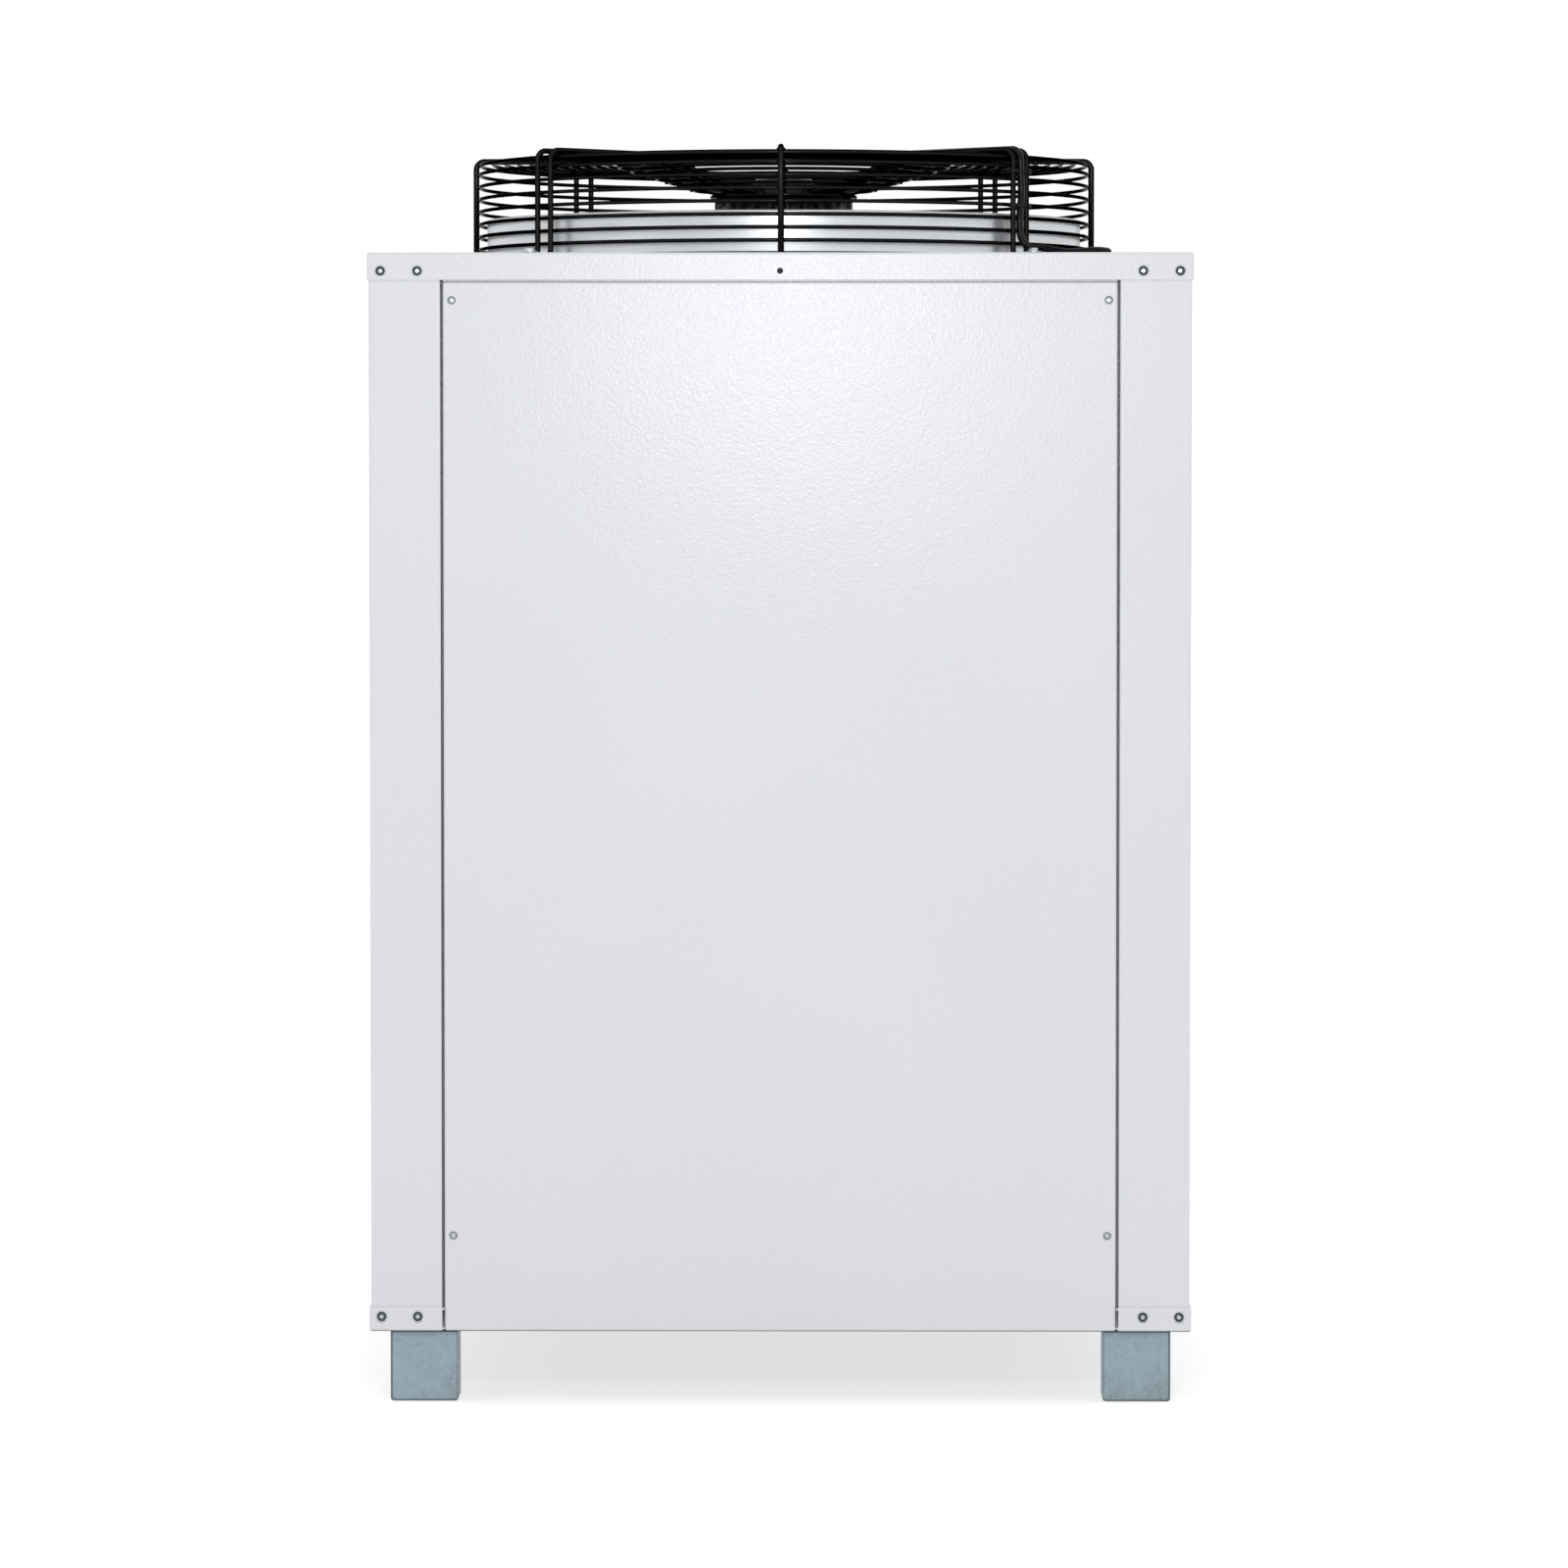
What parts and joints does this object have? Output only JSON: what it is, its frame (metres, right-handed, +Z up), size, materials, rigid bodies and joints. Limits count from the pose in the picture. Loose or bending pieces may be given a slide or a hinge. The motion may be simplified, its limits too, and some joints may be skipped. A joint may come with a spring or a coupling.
{
  "type": "air-cooled water chiller",
  "caption": "Square sheet-steel chiller cabinet on folded feet, with side coils and an axial roof fan in a collar under a wire basket guard.",
  "frame": {"origin": "floor level under the centre of the cabinet, on the fan's axis", "axes": "+Z up along the fan's axis, -Y towards the front panel, +X to the right seen from the front"},
  "size_m": [0.85, 0.85, 1.3087],
  "materials": {
    "cabinet_paint": "off-white structured powder coat",
    "galvanised_steel": "dull galvanised sheet",
    "collar_sheet": "bright galvanised sheet",
    "black_wire": "glossy black coating on steel wire",
    "fan_black": "satin black moulded blades",
    "motor_black": "textured black paint",
    "coil_fins": "bare aluminium fins",
    "brass": "plain turned brass",
    "black_rubber": "black cable sheath and gland"
  },
  "bodies": {
    "cabinet": {"roof_tray": "cabinet_paint", "post_fl": "cabinet_paint", "post_fr": "cabinet_paint", "post_bl": "cabinet_paint", "post_br": "cabinet_paint", "base_tray": "cabinet_paint", "front_panel": "cabinet_paint", "back_panel": "cabinet_paint", "side_panel_left": "cabinet_paint", "side_panel_right": "cabinet_paint", "water_inlet": "brass", "water_outlet": "brass", "mains_grommet": "black_rubber", "deck": "galvanised_steel", "coil_frame_left": "galvanised_steel", "coil_frame_right": "galvanised_steel", "coil_left": "coil_fins", "coil_right": "coil_fins", "foot_fl": "galvanised_steel", "foot_fr": "galvanised_steel", "foot_bl": "galvanised_steel", "foot_br": "galvanised_steel", "fan_collar": "collar_sheet", "guard_rings": "black_wire", "guard_strut_fl": "black_wire", "guard_strut_fr": "black_wire", "guard_strut_bl": "black_wire", "guard_strut_br": "black_wire", "motor_plate": "black_wire", "motor_cover": "motor_black", "motor_stator": "motor_black", "fan_cable": "black_rubber", "cable_gland": "black_rubber"},
    "fan": {"fan_rotor": "fan_black"}
  },
  "joints": [
    {"name": "fan_spin", "type": "hinge", "parent": "cabinet", "child": "fan", "pos_m": [0, 0, 1.1892], "axis": [0, 0, 1], "continuous": true}
  ]
}
